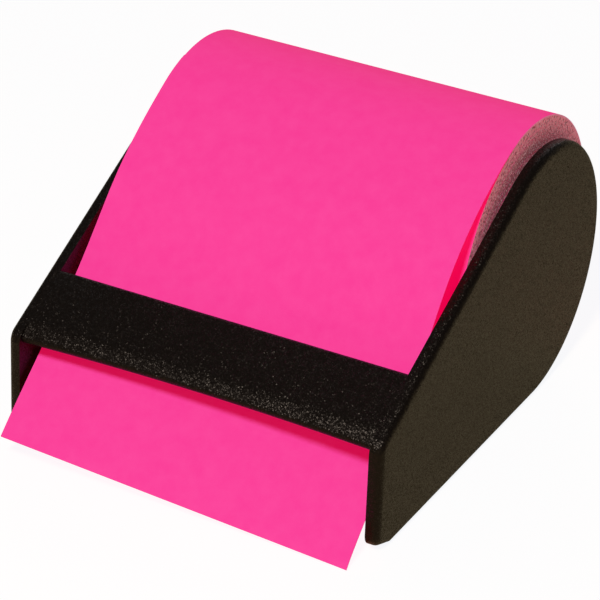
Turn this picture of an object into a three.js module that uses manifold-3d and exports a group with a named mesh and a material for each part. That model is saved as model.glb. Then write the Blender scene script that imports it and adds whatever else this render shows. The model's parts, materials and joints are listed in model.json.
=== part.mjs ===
// A roll of self-stick note paper in its desk dispenser, in millimetres, +Z up.
// X runs along the roll, -Y is the front, and the origin is the middle of the flat base.
import * as THREE from "three";
import { mergeVertices } from "three/addons/utils/BufferGeometryUtils.js";
import Module from "manifold-3d";

const wasm = await Module();
wasm.setup();

// Paper and its core
const paper_width = 60;
const roll_radius = 23.7;
const core_bore_radius = 12.7;
const core_wall = 1.6;
const core_paper_gap = 0.3;
const turn_count = 6;
const turn_groove_width = 0.4;
const turn_groove_depth = 0.35;

// Dispenser body, with every Y measured from the front edge of the cheeks
const cheek_wall = 2.2;
const cheek_rim_radius = 1.3;
const roll_side_gap = 0.7;
const tail_radius = 22.4;
const tail_centre_y = 56.1;
const nose_radius = 2.8;
const nose_centre_z = 17.8;
const toe_radius = 1.8;
const toe_lift = 1.7;
const toe_ramp = 5.8;
const bar_wall = 1.6;
const bar_depth = 11.4;
const lip_angle = THREE.MathUtils.degToRad(37);
const lip_rise = 0.5;
const floor_wall = 1.4;
const floor_front_y = 16;
const floor_tail_angle = THREE.MathUtils.degToRad(45);
const hub_play = 0.4;
const hub_length = 4.5;
const hub_wall = 1.8;
const hub_lead_in = 0.8;
const weld = 0.5;

// Where the roll turns
const roll_axis_y = 54.7;
const roll_floor_gap = 0.6;
const roll_axis_z = floor_wall + roll_floor_gap + roll_radius;

// The sheet that has left the roll
const sheet_thickness = 0.2;
const sheet_roll_gap = 0.3;
const sheet_leave_angle = THREE.MathUtils.degToRad(119);
const sheet_wrap_angle = THREE.MathUtils.degToRad(3);
const sheet_left = {
  leavePull: 19.2,
  slotPull: 15,
  slot: new THREE.Vector2(15.1, 23.2),
  slotSlope: THREE.MathUtils.degToRad(43.3),
  exitPull: 5,
  endPull: 4.5,
  end: new THREE.Vector2(-6.7, 5),
  endSlope: THREE.MathUtils.degToRad(44.7),
};
const sheet_right = {
  leavePull: 19,
  slotPull: 17.3,
  slot: new THREE.Vector2(15.1, 20.2),
  slotSlope: THREE.MathUtils.degToRad(60),
  exitPull: 4.7,
  endPull: 4.9,
  end: new THREE.Vector2(-4.1, 0.4),
  endSlope: THREE.MathUtils.degToRad(53.6),
};

// Fineness of round forms
const arc_step = THREE.MathUtils.degToRad(5);
const round_segments = 72;
const turn_segments = 36;
const sheet_rows = 48;
const sheet_columns = 4;

const core_radius = core_bore_radius + core_wall;
const winding_radius = core_radius + core_paper_gap;
const channel_width = paper_width + 2 * roll_side_gap;
const body_width = channel_width + 2 * cheek_wall;
const base_centre_y = (floor_front_y + tail_centre_y) / 2;
const outside = 3 * tail_radius;

const black_plastic = new THREE.MeshStandardMaterial({ color: 0x1b1713, roughness: 0.55, metalness: 0 });
const brown_board = new THREE.MeshStandardMaterial({ color: 0xa98a63, roughness: 0.9, metalness: 0 });
const pink_paper = new THREE.MeshStandardMaterial({ color: 0xff3e99, roughness: 0.8, metalness: 0 });

// A closed geometry as a solid that can be joined and cut.
function solid(geometry) {
  const bare = geometry.clone();
  bare.deleteAttribute("normal");
  bare.deleteAttribute("uv");
  const merged = mergeVertices(bare, 1e-4);
  return new wasm.Manifold(
    new wasm.Mesh({
      numProp: 3,
      vertProperties: merged.attributes.position.array,
      triVerts: new Uint32Array(merged.index.array),
    }),
  );
}

// A solid as a geometry with flat facets.
function geometryOf(shape) {
  const mesh = shape.getMesh();
  const geometry = new THREE.BufferGeometry();
  geometry.setAttribute("position", new THREE.BufferAttribute(mesh.vertProperties, 3));
  geometry.setIndex(new THREE.BufferAttribute(mesh.triVerts, 1));
  const faceted = geometry.toNonIndexed();
  faceted.computeVertexNormals();
  return faceted;
}

function named(name, geometry, material) {
  const mesh = new THREE.Mesh(geometry, material);
  mesh.name = name;
  return mesh;
}

// A side view drawn as (Y, Z) and pulled along X, centred on X = 0.
function pulledAlongX(shape, width, options = {}) {
  const { rim = 0 } = options;
  const geometry = new THREE.ExtrudeGeometry(shape, {
    depth: width - 2 * rim,
    bevelEnabled: rim > 0,
    bevelThickness: rim,
    bevelSize: rim,
    bevelOffset: -rim,
    bevelSegments: 4,
    curveSegments: 1,
  });
  geometry.translate(0, 0, rim - width / 2);
  const axes = new THREE.Matrix4().makeBasis(
    new THREE.Vector3(0, 1, 0),
    new THREE.Vector3(0, 0, 1),
    new THREE.Vector3(1, 0, 0),
  );
  return geometry.applyMatrix4(axes);
}

// A ring profile of (radius, height) pairs turned round the X axis.
function turnedRoundX(profile, segments) {
  const points = profile.map(([radius, height]) => new THREE.Vector2(radius, height));
  points.push(points[0].clone());
  return new THREE.LatheGeometry(points, segments).rotateZ(-Math.PI / 2);
}

function polar(centre, radius, angle) {
  return new THREE.Vector2(
    centre.x + radius * Math.cos(angle),
    centre.y + radius * Math.sin(angle),
  );
}

// Points along an arc, in whichever direction the angles run.
function arc(centre, radius, from, to) {
  const steps = Math.max(2, Math.ceil(Math.abs(to - from) / arc_step));
  return Array.from({ length: steps + 1 }, (_, i) => polar(centre, radius, from + ((to - from) * i) / steps));
}

// A closed outline, without the doubled points where one arc takes over from the next.
function outline(points) {
  const distinct = points.filter((point, i) => point.distanceTo(points.at(i - 1)) > 1e-6);
  return new THREE.Shape(distinct);
}

// The cheek's side view: nose and tail circles, the slope that touches both, and a flat base
// that ramps up to a small round toe.
const nose_centre = new THREE.Vector2(nose_radius, nose_centre_z);
const tail_centre = new THREE.Vector2(tail_centre_y, tail_radius);
const centre_line = tail_centre.clone().sub(nose_centre);
const slope_angle =
  Math.atan2(centre_line.y, centre_line.x) +
  Math.asin((tail_radius - nose_radius) / centre_line.length());
const slope_normal = slope_angle + Math.PI / 2;
const slope_along = new THREE.Vector2(Math.cos(slope_angle), Math.sin(slope_angle));

function cheekShape() {
  const ramp_end = new THREE.Vector2(toe_ramp, 0);
  const toe_centre = new THREE.Vector2(toe_radius, toe_lift + toe_radius);
  const to_toe = toe_centre.clone().sub(ramp_end);
  const ramp_heading = Math.atan2(to_toe.y, to_toe.x) + Math.asin(toe_radius / to_toe.length());
  return outline([
    ...arc(toe_centre, toe_radius, Math.PI, ramp_heading + Math.PI / 2),
    ramp_end,
    ...arc(tail_centre, tail_radius, -Math.PI / 2, slope_normal),
    ...arc(nose_centre, nose_radius, slope_normal, Math.PI),
  ]);
}

// The front bar is a band of even thickness that follows the slope and the nose, with round ends.
const bar_middle = nose_radius - bar_wall / 2;
const lip_end = Math.PI - lip_angle;
const lip_tip = polar(nose_centre, bar_middle, lip_end);

// The space between the cheeks in side view: all but the bar at the front and the floor.
function channelShape() {
  const bar_end = polar(nose_centre, bar_middle, slope_normal).addScaledVector(slope_along, bar_depth);
  const floor_middle = tail_radius - floor_wall / 2;
  const tail_end = floor_tail_angle - Math.PI / 2;
  const tail_tip = polar(tail_centre, floor_middle, tail_end);
  const floor_tip = new THREE.Vector2(floor_front_y + floor_wall / 2, floor_wall / 2);
  return outline([
    new THREE.Vector2(-outside, -outside),
    new THREE.Vector2(floor_tip.x, -outside),
    ...arc(floor_tip, floor_wall / 2, 1.5 * Math.PI, Math.PI / 2),
    ...arc(tail_centre, tail_radius - floor_wall, -Math.PI / 2, tail_end),
    ...arc(tail_tip, floor_wall / 2, tail_end + Math.PI, tail_end),
    polar(tail_centre, outside, tail_end),
    new THREE.Vector2(outside, outside),
    polar(bar_end, outside, slope_normal),
    ...arc(bar_end, bar_wall / 2, slope_normal, slope_normal - Math.PI),
    ...arc(nose_centre, nose_radius - bar_wall, slope_normal, lip_end),
    ...arc(lip_tip, bar_wall / 2, lip_end + Math.PI, lip_end),
    polar(lip_tip, outside, lip_end),
  ]);
}

// The lens that is cut from under the lip, so that it rises in the middle.
function lipRiseShape() {
  const half = channel_width / 2;
  const radius = (half * half + lip_rise * lip_rise) / (2 * lip_rise);
  const spread = Math.asin(half / radius);
  const lip_bottom = lip_tip.y - bar_wall / 2;
  const centre = new THREE.Vector2(0, lip_bottom + lip_rise - radius);
  const steps = 16;
  const top = Array.from({ length: steps + 1 }, (_, i) =>
    polar(centre, radius, Math.PI / 2 + spread - (2 * spread * i) / steps),
  );
  return new THREE.Shape([new THREE.Vector2(half, 0), new THREE.Vector2(-half, 0), ...top]);
}

function lipRise() {
  const lens = new THREE.ExtrudeGeometry(lipRiseShape(), { depth: nose_radius + weld, bevelEnabled: false });
  return lens.rotateX(Math.PI / 2).translate(0, nose_radius, 0);
}

// A hollow round boss on a cheek's inner face, with a sloped lead-in for the core.
function hub(side) {
  const radius = core_bore_radius - hub_play;
  const root = channel_width / 2 + weld;
  const tip = channel_width / 2 - hub_length;
  const ring = turnedRoundX(
    [
      [radius - hub_wall, tip],
      [radius - hub_lead_in, tip],
      [radius, tip + hub_lead_in],
      [radius, root],
      [radius - hub_wall, root],
    ],
    round_segments,
  );
  if (side < 0) ring.rotateZ(Math.PI);
  return ring.translate(0, roll_axis_y, roll_axis_z);
}

function dispenserBody() {
  const block = solid(pulledAlongX(cheekShape(), body_width, { rim: cheek_rim_radius }));
  const channel = solid(pulledAlongX(channelShape(), channel_width));
  const shell = block.subtract(channel).subtract(solid(lipRise()));
  return geometryOf(shell.add(solid(hub(1))).add(solid(hub(-1))));
}

function rollCore() {
  const half = paper_width / 2;
  return turnedRoundX(
    [
      [core_bore_radius, -half],
      [core_radius, -half],
      [core_radius, half],
      [core_bore_radius, half],
    ],
    round_segments,
  );
}

// One end's wound ridge: a flat spiral band that grows from the core to the outside.
function turnBand() {
  const pitch = (roll_radius - winding_radius) / turn_count;
  const band = pitch - turn_groove_width;
  const steps = (turn_count - 1) * turn_segments;
  const edge = (offset) =>
    Array.from({ length: steps + 1 }, (_, i) => {
      const turns = i / turn_segments;
      const radius = winding_radius + pitch * turns + offset;
      return new THREE.Vector2(radius * Math.cos(2 * Math.PI * turns), radius * Math.sin(2 * Math.PI * turns));
    });
  const depth = turn_groove_depth + weld;
  const shape = new THREE.Shape([...edge(turn_groove_width), ...edge(turn_groove_width + band).reverse()]);
  return new THREE.ExtrudeGeometry(shape, { depth, bevelEnabled: false, curveSegments: 1 });
}

function paperRoll() {
  const half = paper_width / 2;
  const inner_half = half - turn_groove_depth;
  const winding = turnedRoundX(
    [
      [winding_radius, -inner_half],
      [roll_radius, -inner_half],
      [roll_radius, inner_half],
      [winding_radius, inner_half],
    ],
    round_segments,
  );
  const right = turnBand().translate(0, 0, inner_half - weld).rotateY(Math.PI / 2);
  const left = right.clone().rotateZ(Math.PI);
  return geometryOf(solid(winding).add(solid(right)).add(solid(left)));
}

// One side edge of the sheet, as (Y, Z): round the roll, out in a bow to the slot, then down to its end.
function sheetEdge(side) {
  const roll_axis = new THREE.Vector2(roll_axis_y, roll_axis_z);
  const radius = roll_radius + sheet_roll_gap + sheet_thickness;
  const start = sheet_leave_angle - sheet_wrap_angle;
  const leave = polar(roll_axis, radius, sheet_leave_angle);
  const heading = (slope) => new THREE.Vector2(-Math.cos(slope), -Math.sin(slope));
  const leaving = heading(sheet_leave_angle - Math.PI / 2);
  const into_slot = heading(side.slotSlope);
  const at_end = heading(side.endSlope);
  const edge = new THREE.CurvePath();
  edge.add(new THREE.EllipseCurve(roll_axis.x, roll_axis.y, radius, radius, start, sheet_leave_angle));
  edge.add(
    new THREE.CubicBezierCurve(
      leave,
      leave.clone().addScaledVector(leaving, side.leavePull),
      side.slot.clone().addScaledVector(into_slot, -side.slotPull),
      side.slot,
    ),
  );
  edge.add(
    new THREE.CubicBezierCurve(
      side.slot,
      side.slot.clone().addScaledVector(into_slot, side.exitPull),
      side.end.clone().addScaledVector(at_end, -side.endPull),
      side.end,
    ),
  );
  return edge.getSpacedPoints(sheet_rows);
}

// The sheet as a closed skin: straight across from edge to edge, as thick as the paper.
function paperStrip() {
  const left = sheetEdge(sheet_left);
  const right = sheetEdge(sheet_right);
  const across = sheet_columns + 1;
  const layer = (sheet_rows + 1) * across;
  const upper = [];
  for (let row = 0; row <= sheet_rows; row += 1) {
    for (let column = 0; column < across; column += 1) {
      const share = column / sheet_columns;
      const side = left[row].clone().lerp(right[row], share);
      upper.push(new THREE.Vector3((share - 0.5) * paper_width, side.x, side.y));
    }
  }
  const under = upper.map((point, index) => {
    const row = Math.floor(index / across);
    const before = upper[Math.max(row - 1, 0) * across + (index % across)];
    const after = upper[Math.min(row + 1, sheet_rows) * across + (index % across)];
    const along = after.clone().sub(before);
    const inward = new THREE.Vector3(0, -along.z, along.y).normalize();
    return point.clone().addScaledVector(inward, sheet_thickness);
  });
  const faces = [];
  const quad = (a, b, c, d) => faces.push(a, b, c, a, c, d);
  for (let row = 0; row < sheet_rows; row += 1) {
    for (let column = 0; column < sheet_columns; column += 1) {
      const a = row * across + column;
      quad(a, a + across, a + across + 1, a + 1);
      quad(layer + a, layer + a + 1, layer + a + across + 1, layer + a + across);
    }
    const left_side = row * across;
    const right_side = left_side + sheet_columns;
    quad(left_side, layer + left_side, layer + left_side + across, left_side + across);
    quad(right_side, right_side + across, layer + right_side + across, layer + right_side);
  }
  for (let column = 0; column < sheet_columns; column += 1) {
    const last = sheet_rows * across + column;
    quad(column, column + 1, layer + column + 1, layer + column);
    quad(last, layer + last, layer + last + 1, last + 1);
  }
  const geometry = new THREE.BufferGeometry().setFromPoints([...upper, ...under]);
  geometry.setIndex(faces);
  const faceted = geometry.toNonIndexed();
  faceted.computeVertexNormals();
  return faceted;
}

const dispenser = new THREE.Group();
dispenser.position.y = -base_centre_y;
const roll = new THREE.Group();
roll.position.set(0, roll_axis_y, roll_axis_z);
roll.add(named("roll_core", rollCore(), brown_board));
roll.add(named("paper_roll", paperRoll(), pink_paper));
dispenser.add(named("dispenser_body", dispenserBody(), black_plastic));
dispenser.add(named("paper_strip", paperStrip(), pink_paper));
dispenser.add(roll);

export default dispenser;
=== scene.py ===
# A roll of self-stick note paper in its black desk dispenser.
# X runs along the roll, -Y is the front, +Z is up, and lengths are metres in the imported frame.
import json
import logging
import math
from dataclasses import dataclass
from enum import Enum
from typing import Any

import bmesh
import bpy
from mathutils import Matrix, Vector


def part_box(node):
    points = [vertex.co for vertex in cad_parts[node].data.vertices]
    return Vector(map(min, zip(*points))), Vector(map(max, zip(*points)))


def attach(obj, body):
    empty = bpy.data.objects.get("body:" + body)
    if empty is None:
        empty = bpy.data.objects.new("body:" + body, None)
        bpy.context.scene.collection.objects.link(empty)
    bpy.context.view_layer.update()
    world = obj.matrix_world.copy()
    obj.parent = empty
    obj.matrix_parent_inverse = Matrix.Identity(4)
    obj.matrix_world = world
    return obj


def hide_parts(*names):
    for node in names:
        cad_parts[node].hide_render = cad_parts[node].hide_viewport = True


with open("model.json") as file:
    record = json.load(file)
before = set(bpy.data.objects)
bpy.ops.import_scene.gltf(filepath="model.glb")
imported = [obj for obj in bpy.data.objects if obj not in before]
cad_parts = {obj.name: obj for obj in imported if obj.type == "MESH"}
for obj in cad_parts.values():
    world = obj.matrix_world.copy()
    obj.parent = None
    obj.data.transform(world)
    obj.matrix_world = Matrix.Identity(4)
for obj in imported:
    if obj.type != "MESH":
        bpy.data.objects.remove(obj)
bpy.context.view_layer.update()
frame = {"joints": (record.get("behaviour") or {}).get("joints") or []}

logging.basicConfig(level=logging.INFO, format="%(message)s")
log = logging.getLogger("note_roll")

MM = 0.001
FRAME_PIXELS = 600
SENSOR_WIDTH = 36.0
SMOOTH_LIMIT = math.radians(32)
MERGE_DISTANCE = 0.0005 * MM
WHITE = "#ffffff"
MIDDLE = (0.5, 0.5, 0.5)
ACROSS_X = (0.0, 1.0, 1.0)
NOISE_ROUGHNESS = 0.6

# Where a colour mix node has its first colour, its second colour and its result.
MIX_FIRST = 6
MIX_SECOND = 7
MIX_RESULT = 2

# A closed side view, as (Y, Z) points.
Outline = list[tuple[float, float]]


class Body(Enum):
    """The bodies that pieces ride on."""

    DISPENSER = "dispenser"
    ROLL = "roll"


class Slot(Enum):
    """The record's material slots."""

    BLACK_PLASTIC = "black_plastic"
    BROWN_BOARD = "brown_board"
    PINK_PAPER = "pink_paper"


class Operation(Enum):
    """What a boolean does with its tool."""

    JOIN = "UNION"
    CUT = "DIFFERENCE"


def linear(hex_colour: str) -> tuple[float, float, float, float]:
    """Turns an sRGB hex colour into linear red, green, blue and an alpha of 1.

    Args:
        hex_colour: The colour as "#rrggbb".

    Returns:
        The linear colour with its alpha.
    """
    parts = [int(hex_colour[i : i + 2], 16) / 255 for i in (1, 3, 5)]
    curve = [c / 12.92 if c <= 0.04045 else ((c + 0.055) / 1.055) ** 2.4 for c in parts]
    return (*curve, 1.0)


def add_node(
    tree: bpy.types.NodeTree,
    kind: str,
    inputs: dict[str | int, Any] | None = None,
    **settings: Any,
) -> bpy.types.Node:
    """Adds a node, sets its own options, and links or sets its inputs.

    Args:
        tree: The tree that takes the node.
        kind: The node's type name.
        inputs: A socket to link or a value to set, by input name or index.
        **settings: The node's own options.

    Returns:
        The new node.
    """
    node = tree.nodes.new(kind)
    for name, value in settings.items():
        setattr(node, name, value)
    for key, value in (inputs or {}).items():
        if isinstance(value, bpy.types.NodeSocket):
            tree.links.new(value, node.inputs[key])
        else:
            node.inputs[key].default_value = value
    return node


def worked_out(tree: bpy.types.NodeTree, operation: str, *values: Any) -> bpy.types.NodeSocket:
    """Adds a math node.

    Args:
        tree: The tree that takes the node.
        operation: What the node works out.
        *values: A socket or a number for each input, in order.

    Returns:
        The result's socket.
    """
    inputs = dict(enumerate(values))
    return add_node(tree, "ShaderNodeMath", inputs, operation=operation).outputs[0]


def vector_worked_out(
    tree: bpy.types.NodeTree,
    operation: str,
    inputs: dict[str | int, Any],
    result: str = "Vector",
) -> bpy.types.NodeSocket:
    """Adds a vector math node.

    Args:
        tree: The tree that takes the node.
        operation: What the node works out.
        inputs: Its inputs, as for add_node.
        result: The output that is used, which is "Value" for a length.

    Returns:
        The result's socket.
    """
    return add_node(tree, "ShaderNodeVectorMath", inputs, operation=operation).outputs[result]


def mixed(
    tree: bpy.types.NodeTree,
    factor: bpy.types.NodeSocket,
    first: str | bpy.types.NodeSocket,
    second: str,
) -> bpy.types.NodeSocket:
    """Mixes two colours by a factor.

    Args:
        tree: The material's tree.
        factor: Runs from 0 for the first colour to 1 for the second.
        first: The first colour, as sRGB hex or as a socket.
        second: The second colour, as sRGB hex.

    Returns:
        The mixed colour's socket.
    """
    ground = linear(first) if isinstance(first, str) else first
    colours = {0: factor, MIX_FIRST: ground, MIX_SECOND: linear(second)}
    return add_node(tree, "ShaderNodeMix", colours, data_type="RGBA").outputs[MIX_RESULT]


def speckle(
    tree: bpy.types.NodeTree, size: float, low: float, high: float, detail: float = 2.0
) -> bpy.types.NodeSocket:
    """Makes noise of a real size, stretched so that low turns to 0 and high to 1.

    Args:
        tree: The material's tree.
        size: The width of one grain in metres.
        low: The noise value that gives 0.
        high: The noise value that gives 1.
        detail: How many finer layers lie on the first.

    Returns:
        The stretched noise's socket.
    """
    place = add_node(tree, "ShaderNodeTexCoord").outputs["Object"]
    pattern = {"Vector": place, "Scale": 1 / size, "Detail": detail, "Roughness": NOISE_ROUGHNESS}
    noise = add_node(tree, "ShaderNodeTexNoise", pattern)
    spread = {"Value": noise.outputs[0], "From Min": low, "From Max": high}
    return add_node(tree, "ShaderNodeMapRange", spread).outputs["Result"]


@dataclass(frozen=True)
class Finish:
    """A surface finish. Each kind adds its own pattern in dress."""

    name: str

    def dress(self, tree: bpy.types.NodeTree, shader: bpy.types.Node) -> None:
        """Sets the shader's inputs; each kind of finish has its own."""
        raise NotImplementedError

    def material(self) -> bpy.types.Material:
        """Makes the material.

        Returns:
            The finished material.
        """
        made = bpy.data.materials.new(self.name)
        made.use_nodes = True
        tree = made.node_tree
        tree.nodes.clear()
        shader = add_node(tree, "ShaderNodeBsdfPrincipled")
        add_node(tree, "ShaderNodeOutputMaterial", {"Surface": shader.outputs["BSDF"]})
        self.dress(tree, shader)
        return made


@dataclass(frozen=True)
class SparkErodedPlastic(Finish):
    """Black polystyrene, moulded in a spark-eroded tool.

    The sparks leave fine craters, so every spot leans its own way: the bar's round nose
    glitters where the lamp catches it, and the flats stay a deep satin black. Real craters
    are finer than a render can show, so they are drawn 0.14 mm wide.
    """

    colour: str = "#0d0806"
    sheen: str = "#ffe9d6"
    specular_level: float = 0.26
    roughness: float = 0.36
    grain: float = 0.26 * MM
    grain_height: float = 0.008 * MM
    crater: float = 0.14 * MM
    crater_tilt: float = 0.56

    def dress(self, tree: bpy.types.NodeTree, shader: bpy.types.Node) -> None:
        """Lays the grain and tilts the craters.

        Args:
            tree: The material's tree.
            shader: The principled shader.
        """
        shader.inputs["Base Color"].default_value = linear(self.colour)
        shader.inputs["Specular Tint"].default_value = linear(self.sheen)
        shader.inputs["Specular IOR Level"].default_value = self.specular_level
        shader.inputs["Roughness"].default_value = self.roughness
        grain = speckle(tree, self.grain, low=0.25, high=0.75)
        bump = add_node(tree, "ShaderNodeBump", {"Height": grain, "Distance": self.grain_height})
        place = add_node(tree, "ShaderNodeTexCoord").outputs["Object"]
        cells = {"Vector": place, "Scale": 1 / self.crater}
        craters = add_node(tree, "ShaderNodeTexVoronoi", cells)
        lean = vector_worked_out(tree, "SUBTRACT", {0: craters.outputs["Color"], 1: MIDDLE})
        tilt = vector_worked_out(tree, "SCALE", {0: lean, "Scale": self.crater_tilt})
        leaning = vector_worked_out(tree, "ADD", {0: bump.outputs["Normal"], 1: tilt})
        normal = vector_worked_out(tree, "NORMALIZE", {0: leaning})
        tree.links.new(normal, shader.inputs["Normal"])


@dataclass(frozen=True)
class FluorescentPaper(Finish):
    """Uncoated wood-free paper, dyed through with fluorescent pink.

    The dye turns some unseen light into red; on top of that a fixed emission is painted light,
    a glow that lifts the paper's shadows and top edges whatever the lamps do. The felt side
    leaves a faint cloudiness and a fine fibre tooth.
    """

    colour: str = "#b745a1"
    cloud: str = "#bb4fa7"
    # glow is painted light: a fixed emission that lifts the paper in shadow, standing in part for
    # real fluorescence.
    glow: str = "#cc0042"
    cloud_size: float = 2.4 * MM
    fibre: float = 0.3 * MM
    tooth: float = 0.012 * MM
    roughness: float = 0.85
    ior: float = 1.35

    def dress(self, tree: bpy.types.NodeTree, shader: bpy.types.Node) -> None:
        """Clouds the dye and raises the fibres.

        Args:
            tree: The material's tree.
            shader: The principled shader.
        """
        shader.inputs["Roughness"].default_value = self.roughness
        shader.inputs["IOR"].default_value = self.ior
        # Painted glow: the paper gives off this light at full strength under any lamp.
        shader.inputs["Emission Color"].default_value = linear(self.glow)
        shader.inputs["Emission Strength"].default_value = 1.0
        clouds = speckle(tree, self.cloud_size, low=0.3, high=0.7, detail=5.0)
        tree.links.new(mixed(tree, clouds, self.colour, self.cloud), shader.inputs["Base Color"])
        fibres = speckle(tree, self.fibre, low=0.2, high=0.8, detail=3.0)
        bump = add_node(tree, "ShaderNodeBump", {"Height": fibres, "Distance": self.tooth})
        tree.links.new(bump.outputs["Normal"], shader.inputs["Normal"])


@dataclass(frozen=True)
class CutPaperEdges(Finish):
    """The sawn end of the wound paper, where every turn shows its cut edge.

    The saw frays the edges, so the dye turns to a dusty rose with pale and dark specks. Painted
    shade darkens the end inwards from the palest outer turns, the last turn ends in a painted
    highlight, a bright rim, and a painted glow lifts it all a little.
    """

    axis: tuple[float, float]
    radius: float
    # outer is the lit colour of the outer turns; inner is the painted shade near the core.
    outer: str = "#f68c9e"
    inner: str = "#995059"
    # The rim's colour is a painted highlight on the last turn's lit edge.
    rim_highlight: str = "#ff8fb4"
    dust: str = "#ffd2d8"
    pit: str = "#8c424e"
    # A painted glow: the end gives off its own colour at this share, to lift it in shade.
    painted_glow_share: float = 0.28
    painted_shade_depth: float = 4.4 * MM
    rim_highlight_width: float = 0.3 * MM
    rim_highlight_full: float = 0.18 * MM
    speck: float = 0.34 * MM
    pit_size: float = 0.578 * MM
    fray: float = 0.1 * MM
    roughness: float = 0.9

    def reached(
        self, tree: bpy.types.NodeTree, reach: bpy.types.NodeSocket, start: float, stop: float
    ) -> bpy.types.NodeSocket:
        """Makes a factor that runs from 0 to 1 between two depths under the outer turn.

        Args:
            tree: The material's tree.
            reach: The distance from the roll's axis.
            start: The depth that gives 0.
            stop: The depth that gives 1.

        Returns:
            The factor's socket.
        """
        spread = {
            "Value": reach,
            "From Min": self.radius - start,
            "From Max": self.radius - stop,
        }
        return add_node(tree, "ShaderNodeMapRange", spread).outputs["Result"]

    def dress(self, tree: bpy.types.NodeTree, shader: bpy.types.Node) -> None:
        """Paints shade on the end from turn to turn and a highlight on its rim, speckles it and
        roughens it.

        Args:
            tree: The material's tree.
            shader: The principled shader.
        """
        shader.inputs["Roughness"].default_value = self.roughness
        # Painted glow: the end gives off its own colour at this share, under any lamp.
        shader.inputs["Emission Strength"].default_value = self.painted_glow_share
        place = add_node(tree, "ShaderNodeTexCoord").outputs["Object"]
        centred = vector_worked_out(tree, "SUBTRACT", {0: place, 1: (0.0, *self.axis)})
        across = vector_worked_out(tree, "MULTIPLY", {0: centred, 1: ACROSS_X})
        reach = vector_worked_out(tree, "LENGTH", {0: across}, result="Value")
        # Painted shade: the end darkens from the palest outer turns in towards the core.
        painted_shade = self.reached(tree, reach, self.painted_shade_depth, self.rim_highlight_width)
        ground = mixed(tree, painted_shade, self.inner, self.outer)
        pits = speckle(tree, self.pit_size, low=0.52, high=0.36, detail=4.0)
        worn = mixed(tree, pits, ground, self.pit)
        specks = speckle(tree, self.speck, low=0.5, high=0.74, detail=4.0)
        dusty = mixed(tree, specks, worn, self.dust)
        # Painted highlight: the last turn's edge turns to a bright rim.
        edge = self.reached(tree, reach, self.rim_highlight_width, self.rim_highlight_full)
        colour = mixed(tree, edge, dusty, self.rim_highlight)
        tree.links.new(colour, shader.inputs["Base Color"])
        tree.links.new(colour, shader.inputs["Emission Color"])
        bump = add_node(tree, "ShaderNodeBump", {"Height": specks, "Distance": self.fray})
        tree.links.new(bump.outputs["Normal"], shader.inputs["Normal"])


@dataclass(frozen=True)
class SpiralBoard(Finish):
    """Grey-brown board, wound in a spiral and glued.

    Stray fibres fleck it. The helical seam between its plies lies inside the roll and is
    not drawn.
    """

    board: str = "#a98a63"
    fleck: str = "#8a6d4a"
    fibre: float = 0.6 * MM
    nap: float = 0.02 * MM
    roughness: float = 0.9

    def dress(self, tree: bpy.types.NodeTree, shader: bpy.types.Node) -> None:
        """Flecks the board and raises its nap.

        Args:
            tree: The material's tree.
            shader: The principled shader.
        """
        shader.inputs["Roughness"].default_value = self.roughness
        flecks = speckle(tree, self.fibre, low=0.35, high=0.75, detail=5.0)
        tree.links.new(mixed(tree, flecks, self.board, self.fleck), shader.inputs["Base Color"])
        bump = add_node(tree, "ShaderNodeBump", {"Height": flecks, "Distance": self.nap})
        tree.links.new(bump.outputs["Normal"], shader.inputs["Normal"])


def polar(centre: tuple[float, float], radius: float, angle: float) -> tuple[float, float]:
    """Gives the point at a radius and an angle round a centre."""
    return centre[0] + radius * math.cos(angle), centre[1] + radius * math.sin(angle)


def arc(
    centre: tuple[float, float], radius: float, start: float, stop: float, steps: int
) -> Outline:
    """Gives points along an arc, in whichever direction the angles run.

    Args:
        centre: The arc's centre.
        radius: Its radius.
        start: The first angle in radians.
        stop: The last angle.
        steps: How many straight steps make the arc.

    Returns:
        The points, both ends included.
    """
    return [polar(centre, radius, start + (stop - start) * i / steps) for i in range(steps + 1)]


def new_piece(name: str, mesh: bpy.types.Mesh) -> bpy.types.Object:
    """Puts a mesh in the scene at the origin.

    Args:
        name: The piece's name.
        mesh: Its mesh, already in place.

    Returns:
        The new object.
    """
    piece = bpy.data.objects.new(name, mesh)
    bpy.context.scene.collection.objects.link(piece)
    return piece


def lofted(name: str, rings: list[list[Vector]], closed: bool = False) -> bpy.types.Object:
    """Skins a row of rings that have the same number of points.

    Args:
        name: The piece's name.
        rings: Closed loops of points, in order.
        closed: Whether the last ring joins the first; if not, both ends get a cap.

    Returns:
        A closed piece with its faces pointing out.
    """
    form = bmesh.new()
    loops = [[form.verts.new(point) for point in ring] for ring in rings]
    pairs = list(zip(loops, loops[1:]))
    if closed:
        pairs.append((loops[-1], loops[0]))
    else:
        form.faces.new(loops[0])
        form.faces.new(loops[-1])
    for before, after in pairs:
        for i in range(len(before)):
            form.faces.new((before[i - 1], before[i], after[i], after[i - 1]))
    bmesh.ops.recalc_face_normals(form, faces=form.faces)
    mesh = bpy.data.meshes.new(name)
    form.to_mesh(mesh)
    form.free()
    return new_piece(name, mesh)


def settled(piece: bpy.types.Object) -> None:
    """Turns a piece and its modifiers into a plain mesh.

    Args:
        piece: The piece, whose modifiers are removed.
    """
    depsgraph = bpy.context.evaluated_depsgraph_get()
    mesh = bpy.data.meshes.new_from_object(
        piece.evaluated_get(depsgraph), preserve_all_data_layers=True, depsgraph=depsgraph
    )
    piece.modifiers.clear()
    piece.data = mesh


def combined(piece: bpy.types.Object, tool: bpy.types.Object, operation: Operation) -> None:
    """Joins a tool to a piece or cuts it away, and removes the tool.

    Args:
        piece: The piece that is changed.
        tool: The closed form that is joined or cut away.
        operation: Join or cut.
    """
    boolean = piece.modifiers.new(operation.name, "BOOLEAN")
    boolean.operation = operation.value
    boolean.solver = "EXACT"
    boolean.object = tool
    settled(piece)
    bpy.data.objects.remove(tool)


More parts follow.
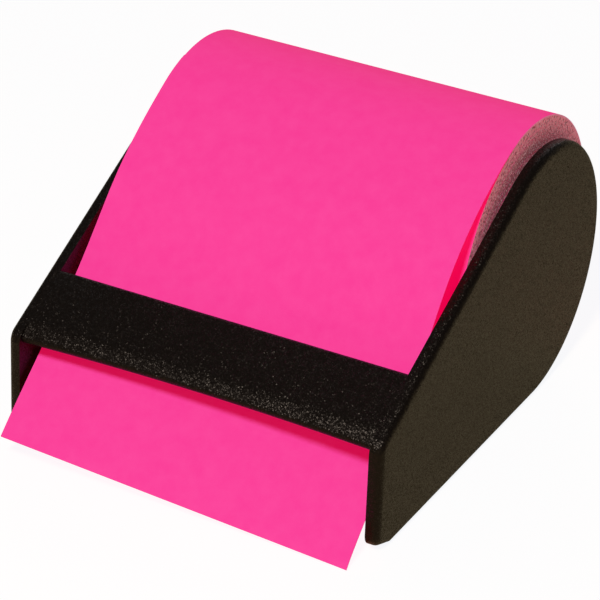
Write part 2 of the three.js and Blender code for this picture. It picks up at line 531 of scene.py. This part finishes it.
def smoothed(piece: bpy.types.Object) -> None:
    """Merges doubles, shades the round forms smooth and keeps the corners sharp.

    Args:
        piece: The piece, with no modifier left.
    """
    form = bmesh.new()
    form.from_mesh(piece.data)
    bmesh.ops.remove_doubles(form, verts=form.verts, dist=MERGE_DISTANCE)
    for face in form.faces:
        face.smooth = True
    for edge in form.edges:
        edge.smooth = edge.calc_face_angle(math.pi) < SMOOTH_LIMIT
    form.to_mesh(piece.data)
    form.free()


def mounted(
    piece: bpy.types.Object, body: Body, node: str, finishes: list[Finish]
) -> None:
    """Dresses a piece that is not dressed yet, and sets it on its body in place of a CAD node.

    Args:
        piece: The finished piece.
        body: The body it rides on.
        node: The CAD node that it stands for.
        finishes: Its finishes, or an empty list where its mesh already has them.
    """
    for finish in finishes:
        piece.data.materials.append(finish.material())
    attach(piece, body.value)
    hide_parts(node)
    log.info("%s: %d faces on %s", piece.name, len(piece.data.polygons), body.value)


@dataclass
class Housing:
    """The black moulded dispenser: two teardrop cheeks, the front bar, the floor and the hubs.

    Side views are drawn as (Y, Z), with Y measured from the front edge of the cheeks.
    """

    front_y: float
    half_width: float
    axis: tuple[float, float]
    cheek_wall: float = 2.2 * MM
    rim_radius: float = 1.3 * MM
    rim_flat: float = 0.25 * MM
    tail_radius: float = 22.4 * MM
    tail_centre_y: float = 56.1 * MM
    nose_radius: float = 2.8 * MM
    nose_centre_z: float = 17.8 * MM
    toe_radius: float = 2.4 * MM
    toe_lift: float = 1.1 * MM
    toe_ramp: float = 4.9 * MM
    bar_wall: float = 1.6 * MM
    bar_depth: float = 11.4 * MM
    bar_nose_radius: float = 6.1 * MM
    lip_angle: float = math.radians(31.8)
    lip_rise: float = 0.5 * MM
    floor_wall: float = 1.4 * MM
    floor_front_y: float = 16 * MM
    floor_tail_angle: float = math.radians(45)
    hub_radius: float = 12.3 * MM
    hub_length: float = 4.5 * MM
    hub_wall: float = 1.8 * MM
    hub_lead_in: float = 0.8 * MM
    weld: float = 0.5 * MM
    edge_radius: float = 0.2 * MM
    edge_segments: int = 2
    edge_limit: float = math.radians(50)
    rim_steps: int = 10
    tail_steps: int = 120
    floor_steps: int = 40
    nose_steps: int = 20
    lip_steps: int = 8
    bar_columns: int = 24
    hub_segments: int = 128

    def __post_init__(self) -> None:
        """Works out what follows from the sizes.

        That is the slope that touches nose and tail, the bar's rounder nose that touches the
        slope and the front, the channel's width, a reach that is well outside the block, and
        the ramp that runs up to the toe.
        """
        self.nose = (self.nose_radius, self.nose_centre_z)
        self.tail = (self.tail_centre_y, self.tail_radius)
        run = self.tail[0] - self.nose[0]
        rise = self.tail[1] - self.nose[1]
        drop = (self.tail_radius - self.nose_radius) / math.hypot(run, rise)
        self.slope = math.atan2(rise, run) + math.asin(drop)
        self.slope_normal = self.slope + math.pi / 2
        touch = polar(self.nose, self.nose_radius, self.slope_normal)
        sink = self.bar_nose_radius * math.sin(self.slope_normal)
        climb = self.bar_nose_radius * (1 + math.cos(self.slope_normal)) - touch[0]
        self.bar_nose = (
            self.bar_nose_radius,
            touch[1] + climb * math.tan(self.slope) - sink,
        )
        self.channel_half = self.half_width - self.cheek_wall
        self.outside = 3 * self.tail_radius
        self.toe = (self.toe_radius, self.toe_lift + self.toe_radius)
        back = self.toe[0] - self.toe_ramp
        spread = math.asin(self.toe_radius / math.hypot(back, self.toe[1]))
        self.ramp_heading = math.atan2(self.toe[1], back) + spread

    def placed(self, outline: Outline, x: float) -> list[Vector]:
        """Stands a side view up at a place along X."""
        return [Vector((x, self.front_y + y, z)) for y, z in outline]

    def cheek_outline(self, inset: float) -> Outline:
        """Draws the teardrop, drawn in all round.

        Args:
            inset: How far the outline is drawn in.

        Returns:
            The outline's points.
        """
        ramp_normal = self.ramp_heading + math.pi / 2
        corner_shift = inset * math.tan((1.5 * math.pi - ramp_normal) / 2)
        return [
            *arc(self.toe, self.toe_radius - inset, math.pi, ramp_normal, self.lip_steps),
            (self.toe_ramp + corner_shift, inset),
            *arc(
                self.tail,
                self.tail_radius - inset,
                -math.pi / 2,
                self.slope_normal,
                self.tail_steps,
            ),
            *arc(
                self.nose,
                self.nose_radius - inset,
                self.slope_normal,
                math.pi,
                self.nose_steps,
            ),
        ]

    def block(self) -> bpy.types.Object:
        """Makes the whole teardrop block with its rounded rims.

        Returns:
            The block, before the channel is cut.
        """
        centre = (self.rim_radius, self.half_width - self.rim_radius)
        quarter = [
            (self.rim_radius + self.rim_flat, self.half_width),
            *arc(centre, self.rim_radius, math.pi / 2, math.pi, self.rim_steps),
        ]
        profile = [(inset, -x) for inset, x in quarter]
        profile += [(inset, x) for inset, x in reversed(quarter)]
        rings = [self.placed(self.cheek_outline(inset), x) for inset, x in profile]
        return lofted("dispenser_housing", rings)

    def channel_outline(self, rise: float) -> Outline:
        """Draws the space between the cheeks: all but the bar at the front and the floor.

        Args:
            rise: How far the lip is raised here.

        Returns:
            The outline's points.
        """
        along = (math.cos(self.slope), math.sin(self.slope))
        half_bar = self.bar_wall / 2
        bar_start = polar(self.nose, self.nose_radius - half_bar, self.slope_normal)
        bar_end = (
            bar_start[0] + along[0] * self.bar_depth,
            bar_start[1] + along[1] * self.bar_depth,
        )
        bar_middle = self.bar_nose_radius - half_bar
        lip_height = bar_middle * math.sin(self.lip_angle) + rise
        lip_end = math.pi - math.asin(lip_height / bar_middle)
        lip_tip = polar(self.bar_nose, bar_middle, lip_end)
        tail_end = self.floor_tail_angle - math.pi / 2
        half_floor = self.floor_wall / 2
        tail_tip = polar(self.tail, self.tail_radius - half_floor, tail_end)
        floor_tip = (self.floor_front_y + half_floor, half_floor)
        inner_tail = self.tail_radius - self.floor_wall
        inner_nose = self.bar_nose_radius - self.bar_wall
        steps = self.lip_steps
        return [
            (-self.outside, -self.outside),
            (floor_tip[0], -self.outside),
            *arc(floor_tip, half_floor, 1.5 * math.pi, math.pi / 2, steps),
            *arc(self.tail, inner_tail, -math.pi / 2, tail_end, self.floor_steps),
            *arc(tail_tip, half_floor, tail_end + math.pi, tail_end, steps)[1:],
            polar(self.tail, self.outside, tail_end),
            (self.outside, self.outside),
            polar(bar_end, self.outside, self.slope_normal),
            *arc(bar_end, half_bar, self.slope_normal, self.slope_normal - math.pi, steps),
            *arc(self.bar_nose, inner_nose, self.slope_normal, lip_end, self.nose_steps),
            *arc(lip_tip, half_bar, lip_end + math.pi, lip_end, steps)[1:],
            polar(lip_tip, self.outside, lip_end),
        ]

    def channel(self) -> bpy.types.Object:
        """Makes the space that is cut from the block; the lip rises towards its middle.

        Returns:
            The channel's solid.
        """
        rings = []
        for i in range(self.bar_columns + 1):
            share = 2 * i / self.bar_columns - 1
            rise = self.lip_rise * (1 - share * share)
            rings.append(self.placed(self.channel_outline(rise), share * self.channel_half))
        return lofted("channel", rings)

    def nose_relief(self) -> bpy.types.Object:
        """Makes the space in front of the bar, whose nose is rounder than the cheeks'.

        Returns:
            The relief's solid.
        """
        step = (math.pi - self.slope_normal) / self.nose_steps
        first = self.slope_normal + step / 2
        outline = [
            polar(self.bar_nose, self.outside, self.slope_normal),
            *arc(self.bar_nose, self.bar_nose_radius, first, math.pi, self.nose_steps),
            polar(self.bar_nose, self.outside, math.pi),
            polar(self.bar_nose, self.outside, (self.slope_normal + math.pi) / 2),
        ]
        sides = (-self.channel_half, self.channel_half)
        return lofted("nose_relief", [self.placed(outline, x) for x in sides])

    def hub(self, side: int) -> bpy.types.Object:
        """Makes the hollow boss that carries the core.

        Args:
            side: 1 for the right cheek and -1 for the left.

        Returns:
            The hub, sunk into its cheek by the weld.
        """
        root = self.channel_half + self.weld
        tip = self.channel_half - self.hub_length
        bore = self.hub_radius - self.hub_wall
        profile = [
            (bore, tip),
            (self.hub_radius - self.hub_lead_in, tip),
            (self.hub_radius, tip + self.hub_lead_in),
            (self.hub_radius, root),
            (bore, root),
        ]
        turn = 2 * math.pi / self.hub_segments
        rings = [
            [
                Vector((side * x, *polar(self.axis, radius, turn * i)))
                for radius, x in profile
            ]
            for i in range(self.hub_segments)
        ]
        return lofted(f"hub_{side}", rings, closed=True)

    def build(self) -> bpy.types.Object:
        """Makes the moulding in one piece.

        Returns:
            The housing's finished mesh.
        """
        piece = self.block()
        combined(piece, self.channel(), Operation.CUT)
        combined(piece, self.nose_relief(), Operation.CUT)
        for side in (-1, 1):
            combined(piece, self.hub(side), Operation.JOIN)
        edges = piece.modifiers.new("edges", "BEVEL")
        edges.width = self.edge_radius
        edges.segments = self.edge_segments
        edges.limit_method = "ANGLE"
        edges.angle_limit = self.edge_limit
        edges.use_clamp_overlap = True
        settled(piece)
        smoothed(piece)
        mounted(
            piece,
            Body.DISPENSER,
            "dispenser_body",
            [SparkErodedPlastic("spark_eroded_polystyrene")],
        )
        return piece


def ran_on_nothing(
    name: str, tree: bpy.types.NodeTree, values: dict[str, Any]
) -> bpy.types.Object:
    """Runs a geometry tree on an empty mesh and keeps what it makes as a plain mesh.

    Args:
        name: The new piece's name.
        tree: The geometry tree.
        values: The modifier's inputs by name.

    Returns:
        The piece, with no modifier left.
    """
    piece = new_piece(name, bpy.data.meshes.new(name))
    modifier = piece.modifiers.new(name, "NODES")
    modifier.node_group = tree
    for item in tree.interface.items_tree:
        if item.item_type == "SOCKET" and item.in_out == "INPUT":
            modifier[item.identifier] = values[item.name]
    settled(piece)
    return piece


@dataclass
class WoundRoll:
    """The note paper, wound edge to edge on its board core.

    The real paper is about 0.1 mm thick; its turns are drawn three times as thick so that
    they show on the ends.
    """

    axis: tuple[float, float]
    radius: float
    half_width: float
    end_angle: float
    core_bore: float = 12.7 * MM
    core_wall: float = 1.6 * MM
    core_gap: float = 0.05 * MM
    turns: int = 30
    parting: float = 0.02 * MM
    stray: float = 0.16 * MM
    core_segments: int = 96
    seed: int = 7
    seed_step: float = 10.0
    stray_scale: float = 2.3
    stray_detail: float = 2.0
    turn_points: int = 128
    end_limit: float = 0.5

    def frame_matrix(self) -> Matrix:
        """Gives the matrix that lays a spiral drawn in XY round the roll's axis.

        Returns:
            X turns to Y and Y to Z, and the spiral's outer end stands where the sheet leaves.
        """
        lay = Matrix(((0, 0, 1, 0), (1, 0, 0, 0), (0, 1, 0, 0), (0, 0, 0, 1)))
        place = Matrix.Translation((0, self.axis[0], self.axis[1]))
        return place @ lay @ Matrix.Rotation(self.end_angle, 4, "Z")

    def turns_tree(
        self, paper: bpy.types.Material, edges: bpy.types.Material
    ) -> bpy.types.NodeTree:
        """Builds the tree that winds the turns.

        Args:
            paper: The material of the paper's faces.
            edges: The material of its cut edges.

        Returns:
            The tree: one spiral, swept with the paper's section, each turn a little astray.
        """
        tree = bpy.data.node_groups.new("wound_turns", "GeometryNodeTree")
        new_socket = tree.interface.new_socket
        new_socket("Turns", in_out="OUTPUT", socket_type="NodeSocketGeometry")
        for name in ("Inner Radius", "Outer Radius", "Rotations", "Thickness", "Width", "Stray"):
            new_socket(name, in_out="INPUT", socket_type="NodeSocketFloat")
        new_socket("Seed", in_out="INPUT", socket_type="NodeSocketInt")
        given = tree.nodes.new("NodeGroupInput").outputs
        spiral = add_node(
            tree,
            "GeometryNodeCurveSpiral",
            {
                "Resolution": self.turn_points,
                "Rotations": given["Rotations"],
                "Start Radius": given["Inner Radius"],
                "End Radius": given["Outer Radius"],
                "Height": 0.0,
                "Reverse": True,
            },
        )
        upright = add_node(
            tree, "GeometryNodeSetCurveNormal", {"Curve": spiral.outputs[0]}, mode="Z_UP"
        )
        section = add_node(
            tree,
            "GeometryNodeCurvePrimitiveQuadrilateral",
            {"Width": given["Thickness"], "Height": given["Width"]},
        )
        wound = add_node(
            tree,
            "GeometryNodeCurveToMesh",
            {0: upright.outputs[0], 1: section.outputs[0], "Fill Caps": True},
        )
        place = add_node(tree, "GeometryNodeInputPosition").outputs[0]
        apart = add_node(tree, "ShaderNodeSeparateXYZ", {0: place}).outputs
        flat = add_node(tree, "ShaderNodeCombineXYZ", {0: apart[0], 1: apart[1]}).outputs[0]
        reach = vector_worked_out(tree, "LENGTH", {0: flat}, result="Value")
        span = add_node(
            tree,
            "ShaderNodeMapRange",
            {
                "Value": reach,
                "From Min": given["Inner Radius"],
                "From Max": given["Outer Radius"],
                "To Max": given["Rotations"],
            },
        ).outputs["Result"]
        seeded = worked_out(tree, "MULTIPLY_ADD", given["Seed"], self.seed_step, span)
        astray = add_node(
            tree,
            "ShaderNodeTexNoise",
            {
                "W": seeded,
                "Scale": self.stray_scale,
                "Detail": self.stray_detail,
            },
            noise_dimensions="1D",
        ).outputs[0]
        # The noise runs from 0 to 1, so less 1 it draws the turns in and never out.
        inward = worked_out(tree, "ADD", astray, -1.0)
        amount = worked_out(tree, "MULTIPLY", inward, given["Stray"])
        shift = worked_out(tree, "MULTIPLY", amount, worked_out(tree, "SIGN", apart[2]))
        offset = add_node(tree, "ShaderNodeCombineXYZ", {2: shift})
        moved = add_node(
            tree,
            "GeometryNodeSetPosition",
            {"Geometry": wound.outputs[0], "Offset": offset.outputs[0]},
        )
        real = add_node(tree, "GeometryNodeRealizeInstances", {0: moved.outputs[0]})
        sheet = add_node(
            tree,
            "GeometryNodeSetMaterial",
            {"Geometry": real.outputs[0], "Material": paper},
        )
        facing = add_node(tree, "GeometryNodeInputNormal").outputs[0]
        lengthwise = add_node(tree, "ShaderNodeSeparateXYZ", {0: facing}).outputs[2]
        steep = worked_out(tree, "ABSOLUTE", lengthwise)
        is_end = worked_out(tree, "GREATER_THAN", steep, self.end_limit)
        cut = add_node(
            tree,
            "GeometryNodeSetMaterial",
            {
                "Geometry": sheet.outputs[0],
                "Selection": is_end,
                "Material": edges,
            },
        )
        add_node(tree, "NodeGroupOutput", {0: cut.outputs[0]})
        return tree

    def build_paper(self, paper: bpy.types.Material) -> bpy.types.Object:
        """Winds the paper.

        Args:
            paper: The material of the paper's faces.

        Returns:
            The wound paper, dressed.
        """
        edges = CutPaperEdges("sawn_paper_edges", self.axis, self.radius).material()
        inner = self.core_bore + self.core_wall + self.core_gap
        pitch = (self.radius - inner) / self.turns
        values = {
            "Inner Radius": inner + pitch / 2,
            "Outer Radius": self.radius - (pitch - self.parting) / 2,
            "Rotations": float(self.turns),
            "Thickness": pitch - self.parting,
            "Width": 2 * self.half_width,
            "Stray": self.stray,
            "Seed": self.seed,
        }
        piece = ran_on_nothing("wound_paper", self.turns_tree(paper, edges), values)
        piece.data.transform(self.frame_matrix())
        smoothed(piece)
        mounted(piece, Body.ROLL, "paper_roll", [])
        return piece

    def build_core(self) -> bpy.types.Object:
        """Makes the board tube.

        Returns:
            The core's finished mesh.
        """
        outer = self.core_bore + self.core_wall
        turn = 2 * math.pi / self.core_segments
        profile = [
            (self.core_bore, -self.half_width),
            (outer, -self.half_width),
            (outer, self.half_width),
            (self.core_bore, self.half_width),
        ]
        rings = [
            [Vector((x, *polar(self.axis, radius, turn * i))) for radius, x in profile]
            for i in range(self.core_segments)
        ]
        piece = lofted("board_core", rings, closed=True)
        smoothed(piece)
        mounted(
            piece, Body.ROLL, "roll_core", [SpiralBoard("spiral_wound_board")]
        )
        return piece


def bezier(points: tuple[Vector, Vector, Vector, Vector], share: float) -> Vector:
    """Gives a cubic curve's point.

    Args:
        points: The start, its handle, the end's handle and the end.
        share: How far along the curve, from 0 to 1.

    Returns:
        The point.
    """
    rest = 1 - share
    near = points[0] * rest**3 + points[1] * (3 * rest * rest * share)
    return near + points[2] * (3 * rest * share * share) + points[3] * share**3


def evenly_spaced(path: list[Vector], count: int) -> list[Vector]:
    """Spaces points evenly along a path.

    Args:
        path: The path's own points.
        count: How many steps the new points make.

    Returns:
        The new points, both ends included.
    """
    lengths = [0.0]
    for before, after in zip(path, path[1:]):
        lengths.append(lengths[-1] + (after - before).length)
    spaced = []
    index = 0
    for step in range(count + 1):
        target = lengths[-1] * step / count
        while index < len(path) - 2 and lengths[index + 1] < target:
            index += 1
        share = (target - lengths[index]) / (lengths[index + 1] - lengths[index])
        spaced.append(path[index].lerp(path[index + 1], min(share, 1.0)))
    return spaced


@dataclass(frozen=True)
class SheetSide:
    """How one side edge of the loose sheet runs, as (Y, Z) from the cheeks' front edge."""

    leave_angle: float
    leave_pull: float
    slot_pull: float
    slot: tuple[float, float]
    slot_slope: float
    exit_pull: float
    end_pull: float
    end: tuple[float, float]
    end_slope: float


LEFT_SIDE = SheetSide(
    leave_angle=math.radians(119),
    leave_pull=19.2 * MM,
    slot_pull=15 * MM,
    slot=(15.1 * MM, 23.2 * MM),
    slot_slope=math.radians(43.3),
    exit_pull=5 * MM,
    end_pull=4.5 * MM,
    end=(-6.7 * MM, 5 * MM),
    end_slope=math.radians(44.7),
)
RIGHT_SIDE = SheetSide(
    leave_angle=math.radians(112),
    leave_pull=17.2 * MM,
    slot_pull=15.8 * MM,
    slot=(15.1 * MM, 20.2 * MM),
    slot_slope=math.radians(60.4),
    exit_pull=4.7 * MM,
    end_pull=4.9 * MM,
    end=(-5.4 * MM, 0.26 * MM),
    end_slope=math.radians(53.6),
)


@dataclass
class LooseSheet:
    """The length of sheet that has left the roll, bowed down to the slot and out under the lip."""

    front_y: float
    axis: tuple[float, float]
    radius: float
    half_width: float
    drift: float = 0.55 * MM
    thickness: float = 0.11 * MM
    lift: float = 0.02 * MM
    start_angle: float = math.radians(104)
    start_thickness: float = 0.01 * MM
    wrap_steps: int = 6
    rows: int = 120
    columns: int = 12

    def edge(self, side: SheetSide) -> list[Vector]:
        """Runs one side edge: round the roll, out in a bow to the slot, then down to its end.

        Args:
            side: The side's pulls, slopes and places.

        Returns:
            Evenly spaced points as (0, Y, Z).
        """
        radius = self.radius + self.lift + self.thickness
        centre = (self.axis[0] - self.front_y, self.axis[1])
        leave = Vector(polar(centre, radius, side.leave_angle))
        leaving = Vector((-math.sin(side.leave_angle), math.cos(side.leave_angle)))
        slot = Vector(side.slot)
        into_slot = Vector((-math.cos(side.slot_slope), -math.sin(side.slot_slope)))
        end = Vector(side.end)
        at_end = Vector((-math.cos(side.end_slope), -math.sin(side.end_slope)))
        bow = (leave, leave + leaving * side.leave_pull, slot - into_slot * side.slot_pull, slot)
        tongue = (slot, slot + into_slot * side.exit_pull, end - at_end * side.end_pull, end)
        thin = self.thickness - self.start_thickness
        wrap = side.leave_angle - self.start_angle
        steps = self.wrap_steps
        path = []
        for i in range(steps + 1):
            share = i / steps
            angle = self.start_angle + wrap * share
            path.append(Vector(polar(centre, radius - thin * (1 - share), angle)))
        for curve in (bow, tongue):
            path += [bezier(curve, i / self.rows) for i in range(1, self.rows + 1)]
        return evenly_spaced(path, self.rows)

    def thick_at(self, place: Vector) -> float:
        """Gives the thickness, which starts near nothing so that no step shows on the roll.

        Args:
            place: A point of the sheet's upper side as (Y, Z).

        Returns:
            The thickness there.
        """
        centre = Vector((self.axis[0] - self.front_y, self.axis[1]))
        clear = (place - centre).length - self.radius - self.lift
        return min(max(clear, self.start_thickness), self.thickness)

    def build(self) -> bpy.types.Object:
        """Makes the sheet as a closed skin, straight across from side to side.

        Its right edge drifts a little outwards on its way down.

        Returns:
            The sheet's finished mesh.
        """
        left = self.edge(LEFT_SIDE)
        right = self.edge(RIGHT_SIDE)
        rings = []
        for row in range(self.rows + 1):
            before = max(row - 1, 0)
            after = min(row + 1, self.rows)
            upper = []
            under = []
            for column in range(self.columns + 1):
                share = column / self.columns
                here = left[row].lerp(right[row], share)
                ahead = left[after].lerp(right[after], share)
                behind = left[before].lerp(right[before], share)
                along = ahead - behind
                inward = Vector((-along.y, along.x)).normalized() * self.thick_at(here)
                x = (2 * share - 1) * self.half_width + share * self.drift * row / self.rows
                upper.append(Vector((x, self.front_y + here.x, here.y)))
                under.append(Vector((x, self.front_y + here.x + inward.x, here.y + inward.y)))
            rings.append([*upper, *reversed(under)])
        piece = lofted("loose_sheet", rings)
        smoothed(piece)
        mounted(
            piece,
            Body.DISPENSER,
            "paper_strip",
            [FluorescentPaper("fluorescent_note_paper")],
        )
        return piece


@dataclass(frozen=True)
class SoftLamp:
    """A round lamp that hangs at a distance from the part and faces it."""

    name: str
    towards: tuple[float, float, float]
    size: float
    power: float
    distance: float = 0.9
    target: tuple[float, float, float] = (0.0, 0.0, 0.02)

    def hang(self) -> None:
        """Hangs the lamp."""
        data = bpy.data.lights.new(self.name, "AREA")
        data.shape = "DISK"
        data.size = self.size
        data.energy = self.power
        lamp = bpy.data.objects.new(self.name, data)
        towards = Vector(self.towards).normalized()
        lamp.location = Vector(self.target) + towards * self.distance
        lamp.rotation_mode = "QUATERNION"
        lamp.rotation_quaternion = towards.to_track_quat("Z", "Y")
        bpy.context.scene.collection.objects.link(lamp)


@dataclass
class Studio:
    """A pale table, soft light from in front, a little from behind, and the photo's camera."""

    camera_place: tuple[float, float, float] = (211.325 * MM, -410.585 * MM, 275.659 * MM)
    camera_yaw: float = math.radians(27.28)
    camera_pitch: float = math.radians(29.17)
    camera_roll: float = math.radians(2.24)
    focal_pixels: float = 3290.51
    principal_x: float = 299.9
    principal_y: float = 300.2
    nearest: float = 0.01
    farthest: float = 10.0
    table_size: float = 3.0
    table_colour: str = "#decaa2"
    table_glow_colour: str = "#fbfcff"
    table_glow: float = 1.18
    table_glow_share: float = 0.8
    sky_colour: str = WHITE
    sky_strength: float = 0.07
    lamps: tuple[SoftLamp, ...] = (
        SoftLamp("key_lamp", (0.15, -0.69, 0.72), size=0.13, power=5.0),
        SoftLamp("back_lamp", (-0.35, 0.85, 0.45), size=0.5, power=1.4),
    )

    def camera(self) -> None:
        """Sets the camera at the photo's viewing angle."""
        lens = bpy.data.cameras.new("photo_camera")
        lens.sensor_width = SENSOR_WIDTH
        lens.lens = self.focal_pixels / FRAME_PIXELS * SENSOR_WIDTH
        lens.shift_x = (FRAME_PIXELS / 2 - self.principal_x) / FRAME_PIXELS
        lens.shift_y = (self.principal_y - FRAME_PIXELS / 2) / FRAME_PIXELS
        lens.clip_start = self.nearest
        lens.clip_end = self.farthest
        ahead = Vector(
            (
                -math.sin(self.camera_yaw) * math.cos(self.camera_pitch),
                math.cos(self.camera_yaw) * math.cos(self.camera_pitch),
                -math.sin(self.camera_pitch),
            )
        )
        level = Vector((math.cos(self.camera_yaw), math.sin(self.camera_yaw), 0))
        above = level.cross(ahead)
        turn = self.camera_roll
        right = level * math.cos(turn) + above * math.sin(turn)
        up = above * math.cos(turn) - level * math.sin(turn)
        pose = Matrix((right, up, -ahead)).transposed().to_4x4()
        camera = bpy.data.objects.new("photo_camera", lens)
        camera.matrix_world = Matrix.Translation(self.camera_place) @ pose
        bpy.context.scene.collection.objects.link(camera)
        bpy.context.scene.camera = camera

    def table(self) -> None:
        """Lays the pale table, which shows near white and keeps the part's shadow."""
        form = bmesh.new()
        bmesh.ops.create_grid(form, x_segments=1, y_segments=1, size=self.table_size / 2)
        mesh = bpy.data.meshes.new("table_top")
        form.to_mesh(mesh)
        form.free()
        top = new_piece("table_top", mesh)
        paint = bpy.data.materials.new("white_laminate")
        paint.use_nodes = True
        tree = paint.node_tree
        tree.nodes.clear()
        matt = add_node(tree, "ShaderNodeBsdfDiffuse", {"Color": linear(self.table_colour)})
        white = {"Color": linear(self.table_glow_colour), "Strength": self.table_glow}
        glow = add_node(tree, "ShaderNodeEmission", white)
        by_camera = add_node(tree, "ShaderNodeLightPath").outputs["Is Camera Ray"]
        seen = worked_out(tree, "MULTIPLY", by_camera, self.table_glow_share)
        both = add_node(
            tree, "ShaderNodeMixShader", {0: seen, 1: matt.outputs[0], 2: glow.outputs[0]}
        )
        add_node(tree, "ShaderNodeOutputMaterial", {"Surface": both.outputs[0]})
        mesh.materials.append(paint)

    def light(self) -> None:
        """Hangs the lamps and sets the sky that fills the shadows."""
        for lamp in self.lamps:
            lamp.hang()
        world = bpy.data.worlds.new("pale_studio")
        bpy.context.scene.world = world
        world.use_nodes = True
        tree = world.node_tree
        tree.nodes.clear()
        by_camera = add_node(tree, "ShaderNodeLightPath").outputs["Is Camera Ray"]
        fill = {"Color": linear(self.sky_colour), "Strength": self.sky_strength}
        dim = add_node(tree, "ShaderNodeBackground", fill)
        white = add_node(tree, "ShaderNodeBackground", {"Color": linear(WHITE), "Strength": 1.0})
        both = add_node(
            tree, "ShaderNodeMixShader", {0: by_camera, 1: dim.outputs[0], 2: white.outputs[0]}
        )
        add_node(tree, "ShaderNodeOutputWorld", {"Surface": both.outputs[0]})

    def build(self) -> None:
        """Sets camera, table, lamps and sky, with plain view settings."""
        self.camera()
        self.table()
        self.light()
        bpy.context.scene.view_settings.view_transform = "Standard"


def main() -> None:
    """Builds the part round the frame and reports each piece."""
    body_low, body_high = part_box("dispenser_body")
    roll_low, roll_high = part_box("paper_roll")
    axis = tuple(frame["joints"][0]["pos_m"][1:])
    radius = (roll_high[2] - roll_low[2]) / 2
    Studio().build()
    sheet = LooseSheet(body_low[1], axis, radius, roll_high[0]).build()
    roll = WoundRoll(axis, radius, roll_high[0], RIGHT_SIDE.leave_angle)
    roll.build_paper(sheet.data.materials[0])
    roll.build_core()
    Housing(body_low[1], body_high[0], axis).build()


if __name__ == "__main__":
    main()
